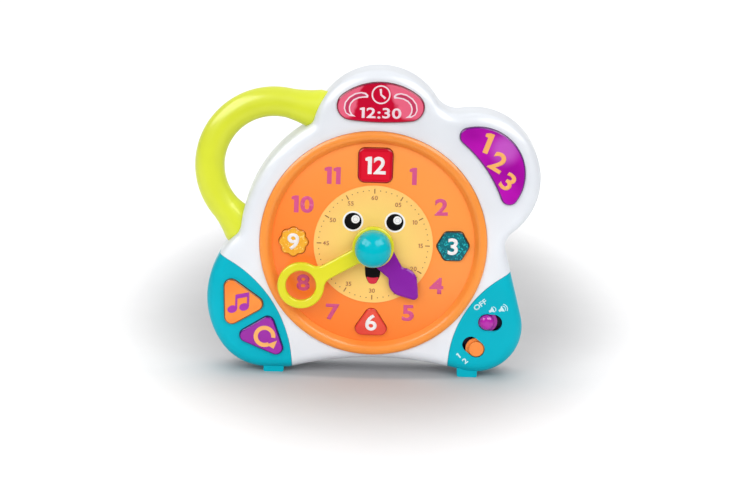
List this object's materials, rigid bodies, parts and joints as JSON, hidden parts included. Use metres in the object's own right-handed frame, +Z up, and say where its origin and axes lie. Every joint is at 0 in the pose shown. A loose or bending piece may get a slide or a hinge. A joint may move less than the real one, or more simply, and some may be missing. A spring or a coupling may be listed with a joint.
{
  "type": "teaching clock",
  "caption": "Toddler's teaching clock on two feet: a lobed case with a ring handle, a round dial, two geared hands on a ball knob, push buttons and slide switches.",
  "frame": {"origin": "middle of the whole box in X and Y, on the surface the feet stand on", "axes": "+Z up, dial faces -Y, +X to the right of someone who looks at the dial"},
  "size_m": [0.2652, 0.0808, 0.2373],
  "materials": {
    "white_shell": "smooth moulded, slightly glossy",
    "teal_shell": "smooth moulded, slightly glossy",
    "lime_handle": "smooth moulded, slightly glossy",
    "orange_rim": "smooth moulded, slightly glossy",
    "orange_dial": "tinted, slightly see-through, with printed numbers",
    "cream_disc": "printed sheet",
    "purple_hand": "smooth moulded",
    "yellow_hand": "smooth moulded",
    "blue_knob": "polished moulded",
    "red_key": "tinted, with fine glitter",
    "teal_key": "tinted, with fine glitter",
    "coral_key": "tinted, with fine glitter",
    "amber_key": "tinted, with fine glitter",
    "crimson_key": "tinted, with fine glitter",
    "violet_key": "tinted, with fine glitter",
    "orange_key": "tinted, with fine glitter",
    "purple_slider": "smooth moulded",
    "orange_slider": "smooth moulded",
    "silicone": "soft, translucent",
    "circuit_board": "lacquered laminate",
    "dark_plastic": "moulded",
    "led_lens": "clear",
    "steel": "zinc plated",
    "spring_metal": "nickel plated strip",
    "nylon": "natural moulded",
    "speaker_metal": "pressed, with a dark cone",
    "cell_can": "plain wrapped can"
  },
  "bodies": {
    "casing": {"front_housing": "white_shell", "rear_housing": "white_shell", "left_corner_panel": "teal_shell", "right_corner_panel": "teal_shell", "handle_front": "lime_handle", "handle_rear": "lime_handle", "dial_bezel": "orange_rim", "dial_plate": "orange_dial", "face_disc": "cream_disc", "dome_12": "silicone", "dome_3": "silicone", "dome_6": "silicone", "dome_9": "silicone", "time_dome": "silicone", "game_dome": "silicone", "tune_dome": "silicone", "again_dome": "silicone", "dial_board": "circuit_board", "top_board": "circuit_board", "lobe_board": "circuit_board", "corner_board": "circuit_board", "switch_board": "circuit_board", "main_board": "circuit_board", "encoder_card": "circuit_board", "slide_switches": "dark_plastic", "dial_leds": "led_lens", "movement_screws": "steel", "board_screws": "steel", "housing_screws": "steel", "wheel_stud": "steel", "battery_contacts": "spring_metal", "movement_plate": "nylon", "friction_washer": "nylon", "speaker": "speaker_metal", "battery_cells": "cell_can"},
    "minute": {"minute_hand": "yellow_hand", "minute_arbor": "nylon", "nose_knob": "blue_knob"},
    "hour": {"hour_hand": "purple_hand", "hour_wheel": "nylon", "contact_brush": "spring_metal"},
    "wheel": {"minute_wheel": "nylon"},
    "volume": {"volume_slider": "purple_slider"},
    "language": {"language_slider": "orange_slider"},
    "door": {"battery_door": "white_shell", "door_screw": "steel"},
    "key_12": {"button_12": "red_key"},
    "key_3": {"button_3": "teal_key"},
    "key_6": {"button_6": "coral_key"},
    "key_9": {"button_9": "amber_key"},
    "time_key": {"time_button": "crimson_key"},
    "game_key": {"game_button": "violet_key"},
    "tune_key": {"tune_button": "orange_key"},
    "again_key": {"again_button": "violet_key"}
  },
  "joints": [
    {"name": "minute_turn", "type": "hinge", "parent": "casing", "child": "minute", "pos_m": [0.00615, -0.00458, 0.10432], "axis": [0, 1, 0], "continuous": true},
    {"name": "hour_turn", "type": "hinge", "parent": "casing", "child": "hour", "pos_m": [0.00615, -0.00458, 0.10432], "axis": [0, 1, 0], "continuous": true},
    {"name": "wheel_turn", "type": "hinge", "parent": "casing", "child": "wheel", "pos_m": [-0.0164, -0.00458, 0.09611], "axis": [0, 1, 0], "continuous": true},
    {"name": "press_12", "type": "slide", "parent": "casing", "child": "key_12", "axis": [0, 1, 0], "range_m": [0, 0.0018], "stiffness_N_per_m": 1200, "deforming": ["dome_12"]},
    {"name": "press_3", "type": "slide", "parent": "casing", "child": "key_3", "axis": [0, 1, 0], "range_m": [0, 0.0018], "stiffness_N_per_m": 1200, "deforming": ["dome_3"]},
    {"name": "press_6", "type": "slide", "parent": "casing", "child": "key_6", "axis": [0, 1, 0], "range_m": [0, 0.0018], "stiffness_N_per_m": 1200, "deforming": ["dome_6"]},
    {"name": "press_9", "type": "slide", "parent": "casing", "child": "key_9", "axis": [0, 1, 0], "range_m": [0, 0.0018], "stiffness_N_per_m": 1200, "deforming": ["dome_9"]},
    {"name": "press_time", "type": "slide", "parent": "casing", "child": "time_key", "axis": [0, 1, 0], "range_m": [0, 0.0018], "stiffness_N_per_m": 1200, "deforming": ["time_dome"]},
    {"name": "press_game", "type": "slide", "parent": "casing", "child": "game_key", "axis": [0, 1, 0], "range_m": [0, 0.0018], "stiffness_N_per_m": 1200, "deforming": ["game_dome"]},
    {"name": "press_tune", "type": "slide", "parent": "casing", "child": "tune_key", "axis": [0, 1, 0], "range_m": [0, 0.0018], "stiffness_N_per_m": 1200, "deforming": ["tune_dome"]},
    {"name": "press_again", "type": "slide", "parent": "casing", "child": "again_key", "axis": [0, 1, 0], "range_m": [0, 0.0018], "stiffness_N_per_m": 1200, "deforming": ["again_dome"]},
    {"name": "volume_slide", "type": "slide", "parent": "casing", "child": "volume", "axis": [0.9976, 0, -0.0698], "range_m": [0, 0.0054]},
    {"name": "language_slide", "type": "slide", "parent": "casing", "child": "language", "axis": [-0.788, 0, 0.6157], "range_m": [0, 0.0054]},
    {"name": "door_swing", "type": "hinge", "parent": "casing", "child": "door", "pos_m": [0.00615, 0.04043, 0.03937], "axis": [-1, 0, 0], "range_deg": [0, 75]}
  ],
  "couplings": [
    {"joint": "hour_turn", "follows": "minute_turn", "ratio": 0.083333},
    {"joint": "wheel_turn", "follows": "minute_turn", "ratio": -0.33333}
  ]
}
